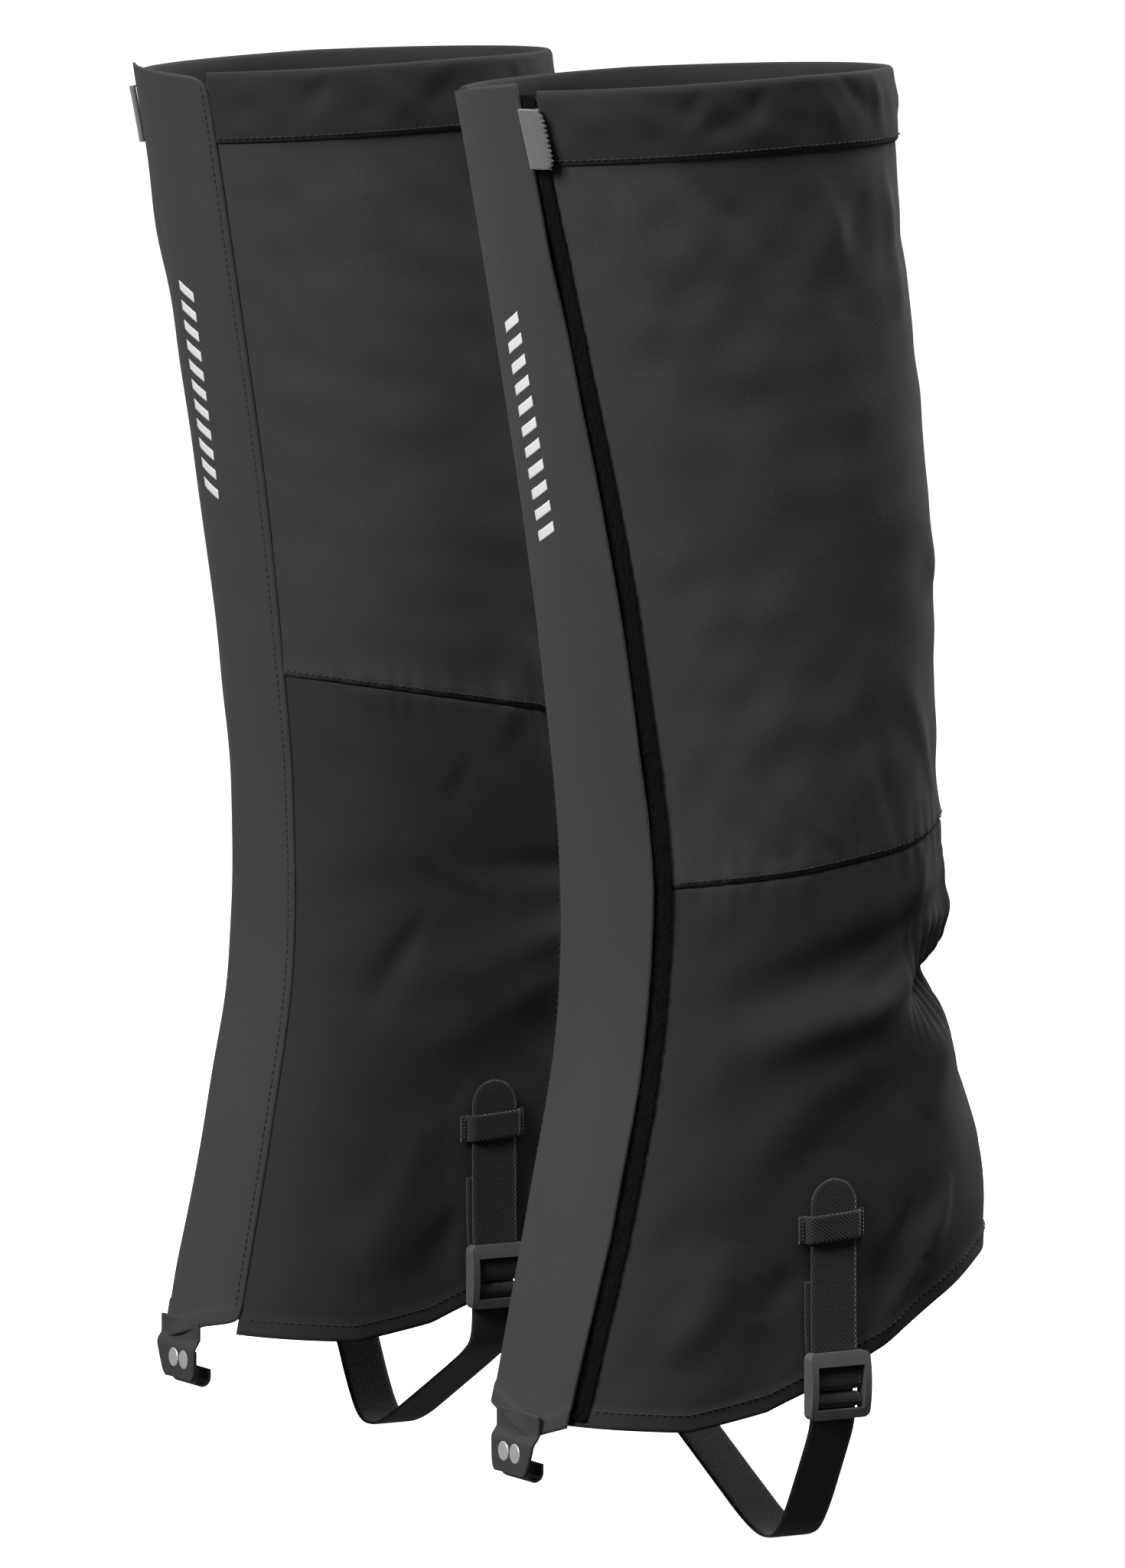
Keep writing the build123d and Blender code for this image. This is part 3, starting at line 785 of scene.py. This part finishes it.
# --- Hook tab -----------------------------------------------------------------------------------------
def hook_tab(side):
    """The tab is sewn behind the flap's hem and narrows to the riveted hook."""
    low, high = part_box(f"{side}_hook_tab")
    front = (low.y - FORE_AFT) / MM
    z = np.linspace(HOOK_TAB_TOP, low.z / MM, 38)[None, :]
    u = np.linspace(-1, 1, 25)[:, None]
    drop = np.clip((40 - z) / 13, 0, 1)
    half = 14.5 - 3.0 * drop ** 1.2
    foot = np.clip((low.z / MM + 4 - z) / 4, 0, 1)
    x = HOOK_TAB_X - HOOK_TAB_LEAN * drop + u * half * (1 - 0.14 * foot ** 3)
    tuck = np.clip((z - 38.2) / 4.5, 0, 1)
    y = front + 2.2 * tuck * tuck * (3 - 2 * tuck) + 0.25 * np.cos(u * 3)
    points = np.stack([x, y + 0 * u, z + 0 * u], axis=-1)
    tab = sheet_piece("hook_tab_cloth", side, points, FLAP, 1.0)
    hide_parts(f"{side}_hook_tab")
    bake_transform(tab)


# --- Straps -------------------------------------------------------------------------------------------
def across_leg(path, rise=0.0):
    return np.array([(x, STRAP_Y, z + rise) for x, z in path])


def bar_turn(centre, radius, first, last, count=12):
    turns = np.radians(np.linspace(first, last, count))
    return [(centre[0] + radius * math.cos(t), centre[1] + radius * math.sin(t)) for t in turns]


def flipped(path, sign):
    out = np.array(path, float)
    out[:, 0] *= sign
    return out


def strap_side(side, which, sign):
    """Everything that is webbing at one end of the instep strap; sign is +1 on the outer side."""
    name = f"{which}_"
    wide = (0, 1, 0)
    rise = 0.0 if which == "outer" else INNER_RISE
    x, z = WEBBING_BAR
    turn = [(x - 2.0, z + 5)] + bar_turn((x, z), 2.0, 180, 360)
    turn += OFF_THE_BAR
    path = flipped(across_leg(turn, rise), sign)
    over_bar = ribbon(name + "webbing_over_bar", side, path, wide, WEBBING_WIDTH, WEBBING, STRAP, 0.6)
    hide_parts(f"{side}_{which}_webbing_turn")
    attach(over_bar, f"{side}_{which}_buckle_body")

    path = flipped(across_leg(smooth_path(TAIL), rise), sign)
    end = ribbon(
        name + "tail_webbing", side, path, wide, WEBBING_WIDTH, WEBBING, STRAP, 0.8, round_end=True
    )
    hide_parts(f"{side}_{which}_tail")
    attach(end, f"{side}_{which}_tail_body")

    path = flipped(smooth_path([(x, STRAP_Y + y, z + rise) for x, y, z in ANCHOR]), sign)
    anchor = ribbon(name + "anchor_strap", side, path, wide, WEBBING_WIDTH, 1.1, STRAP, 0.8)
    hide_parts(f"{side}_{which}_anchor_webbing")
    x = SIDES[side] * (LEG_X + sign * ANCHOR_X * MM)
    y = FORE_AFT + STRAP_Y * MM
    start, end = ((x, y, height + rise * MM) for height in ANCHOR_BENDS)
    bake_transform(anchor)

    z = KEEPER_Z + rise
    bridge = [(x, STRAP_Y - away, z - KEEPER_SLANT * away) for x, away in KEEPER_HALF]
    bridge += [(x, STRAP_Y + away, z + KEEPER_SLANT * away) for x, away in reversed(KEEPER_HALF)]
    path = flipped(smooth_path(bridge), sign)
    band = ribbon(name + "keeper_band", side, path, (0, 0, 1), KEEPER_HEIGHT, 0.9, STRAP, 0.5)
    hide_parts(f"{side}_{which}_keeper")
    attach(band, f"{side}_sleeve_body")
    x, away, half = KEEPER_TACK
    for end_name, at in (("front", -away), ("rear", away)):
        middle = z + KEEPER_SLANT * at
        tack = np.array([(sign * x, STRAP_Y + at, middle + q) for q in np.linspace(-half, half, 8)])
        out = np.array([(sign * 1.0, 0.0, 0.0)] * len(tack))
        row = stitches(f"{name}keeper_tack_{end_name}", side, (tack, out), THREAD, 1.2, 1.0, 0.3)
        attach(row, f"{side}_sleeve_body")


def instep_strap(side):
    """Webbing from one buckle's lower bar, under the boot, to the other's, lowest on the outer side."""
    x, z = STRAP_BAR
    eye = bar_turn((x, z), STRAP_TURN, -70, 200, 16)
    other = [(-a, b + INNER_RISE) for a, b in reversed(eye)]
    hang = [(x - STRAP_TURN, z - 2)] + UNDER_BOOT + [(STRAP_TURN - x, z + INNER_RISE - 2)]
    path = np.concatenate([eye, smooth_path(hang), other])
    height = path[:, 1].copy()
    lowest = height.min() - WEBBING / 2
    path[:, 1] -= np.where(height < STRAP_LOW, lowest * (STRAP_LOW - height) / STRAP_LOW, 0)
    path = across_leg(path)
    strap = ribbon("instep_webbing", side, path, (0, 1, 0), WEBBING_WIDTH, WEBBING, STRAP, 0.8)
    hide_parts(f"{side}_instep_strap")
    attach(strap, f"{side}_stirrup_body")


# --- Stitching ----------------------------------------------------------------------------------------
def seam_stitches(side):
    body = f"{side}_sleeve_body"
    start = front_angle(FLAP_EDGE, LOOP_SHOWS + 1.0)
    rows = {
        "cuff_stitches": (by_y(RIM, -CUFF_HEIGHT + 2.2), 1.35, 0.5),
        "panel_seam_stitches": (lambda p: panel_seam(p) + 2.0, 0.5, 1.0),
        "hem_stitches": (by_y(HEM, 6.0), 0.55, 1.0),
    }
    for name, (height, lift, worn) in rows.items():
        angle, z = grid_on_sleeve(start, sleeve_end, height, height, 700, 1)
        angle, z = angle[:, 0], z[:, 0]
        near = cloth_point(angle, z, lift, worn)
        far = cloth_point(angle, z, lift + 1.0, worn)
        row = stitches(name, side, (near, far - near), THREAD)
        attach(row, body)


def flap_stitches(side):
    share, z = flap_grid(60, 420)
    along_seam = (np.full_like(share[3], 0.05), z[3])
    along_hem = (share[2:, 0], z[2:, 0] + 4.5)
    rows = {"flap_seam_stitches": along_seam, "flap_hem_stitches": along_hem}
    for name, (s, height) in rows.items():
        near = flap_surface(s, height, 0.05)
        far = flap_surface(s, height, 1.05)
        row = stitches(name, side, (near, far - near), THREAD)
        blend_flap(row)


# --- Hardware -----------------------------------------------------------------------------------------
def finish_node(node, material, bevel):
    """A CAD node that stays: rounded edges and its own material."""
    made = frame["nodes"][node]
    made.data.materials.clear()
    made.data.materials.append(material)
    for face in made.data.polygons:
        face.use_smooth = True
    if bevel:
        rounding = made.modifiers.new("rounding", "BEVEL")
        rounding.width = bevel * MM
        rounding.segments = 3
        rounding.limit_method = "ANGLE"
        rounding.angle_limit = math.radians(40)
        rounding.harden_normals = True


def hardware(side):
    for which in ("outer", "inner"):
        finish_node(f"{side}_{which}_buckle", PLASTIC, 0.5)
    finish_node(f"{side}_hook_rivets", RIVET, 0.0)
    finish_node(f"{side}_lace_hook", HOOK_METAL, 0.2)


# --- Camera, light and floor --------------------------------------------------------------------------
CAMERA_AZIMUTH = 60.3
CAMERA_DISTANCE = 3.74
CAMERA_HEIGHT = 0.62
AIM_HEIGHT = 0.252
LENS = 241.0
SHIFT_X = 16 / 2048
FLOOR_HALF = 40.0
AMBIENT = 0.14  # how strongly the white backdrop lights the gaiters
LAMP_DISTANCE = 2.6
LAMP_AIM = 0.25
LAMPS = (  # name, azimuth, elevation, size, power
    ("key", 14, 38, 1.1, 105),
    ("top", 95, 68, 1.0, 55),
    ("rim", 196, 35, 1.2, 40),
)


def camera():
    scene = bpy.context.scene
    made = bpy.data.objects.new("camera", bpy.data.cameras.new("camera"))
    scene.collection.objects.link(made)
    azimuth = math.radians(CAMERA_AZIMUTH)
    made.location = (
        CAMERA_DISTANCE * math.sin(azimuth), -CAMERA_DISTANCE * math.cos(azimuth), CAMERA_HEIGHT
    )
    way = Vector((0, 0, AIM_HEIGHT)) - made.location
    made.rotation_euler = way.to_track_quat("-Z", "Y").to_euler()
    made.data.sensor_width = 36.0
    made.data.lens = LENS
    made.data.shift_x = SHIFT_X
    scene.camera = made


def floor():
    """White to the camera, and hidden from the light that the gaiters scatter or mirror."""
    mesh = bpy.data.meshes.new("floor")
    corners = [(x * FLOOR_HALF, y * FLOOR_HALF, 0) for x, y in ((-1, -1), (1, -1), (1, 1), (-1, 1))]
    mesh.from_pydata(corners, [], [(0, 1, 2, 3)])
    made = bpy.data.objects.new("floor", mesh)
    material, _, shader = nodes_of("floor_white")
    shader.inputs["Base Color"].default_value = (0.93, 0.93, 0.93, 1)
    shader.inputs["Emission Color"].default_value = (1, 1, 1, 1)
    shader.inputs["Emission Strength"].default_value = 1.0
    shader.inputs["Roughness"].default_value = 0.9
    mesh.materials.append(material)
    bpy.context.scene.collection.objects.link(made)
    made.visible_diffuse = False
    made.visible_glossy = False


def backdrop():
    """White to the camera, and a gentler light than that on the gaiters."""
    world = bpy.data.worlds.new("studio")
    world.use_nodes = True
    tree = world.node_tree
    background = tree.nodes["Background"]
    background.inputs["Color"].default_value = (1, 1, 1, 1)
    rays = tree.nodes.new("ShaderNodeLightPath")
    strength = tree.nodes.new("ShaderNodeMapRange")
    strength.inputs["To Min"].default_value = AMBIENT
    strength.inputs["To Max"].default_value = 1.0
    tree.links.new(rays.outputs["Is Camera Ray"], strength.inputs["Value"])
    tree.links.new(strength.outputs["Result"], background.inputs["Strength"])
    bpy.context.scene.world = world


def lamps():
    for name, azimuth, elevation, size, power in LAMPS:
        lamp = bpy.data.objects.new(name, bpy.data.lights.new(name, "AREA"))
        lamp.data.size = size
        lamp.data.energy = power
        a, e = math.radians(azimuth), math.radians(elevation)
        way = Vector((math.sin(a) * math.cos(e), -math.cos(a) * math.cos(e), math.sin(e)))
        lamp.location = way * LAMP_DISTANCE
        aim = Vector((0, 0, LAMP_AIM)) - lamp.location
        lamp.rotation_euler = aim.to_track_quat("-Z", "Y").to_euler()
        bpy.context.scene.collection.objects.link(lamp)


def stage():
    camera()
    floor()
    backdrop()
    lamps()
    bpy.context.scene.view_settings.view_transform = "Standard"


stage()
for gaiter in SIDES:
    sleeve_panels(gaiter)
    cuff(gaiter)
    loop_tape(gaiter)
    ankle_elastic(gaiter)
    flap(gaiter)
    flap_print(gaiter)
    pull_tab(gaiter)
    hook_tab(gaiter)
    strap_side(gaiter, "outer", 1)
    strap_side(gaiter, "inner", -1)
    instep_strap(gaiter)
    seam_stitches(gaiter)
    flap_stitches(gaiter)
    hardware(gaiter)
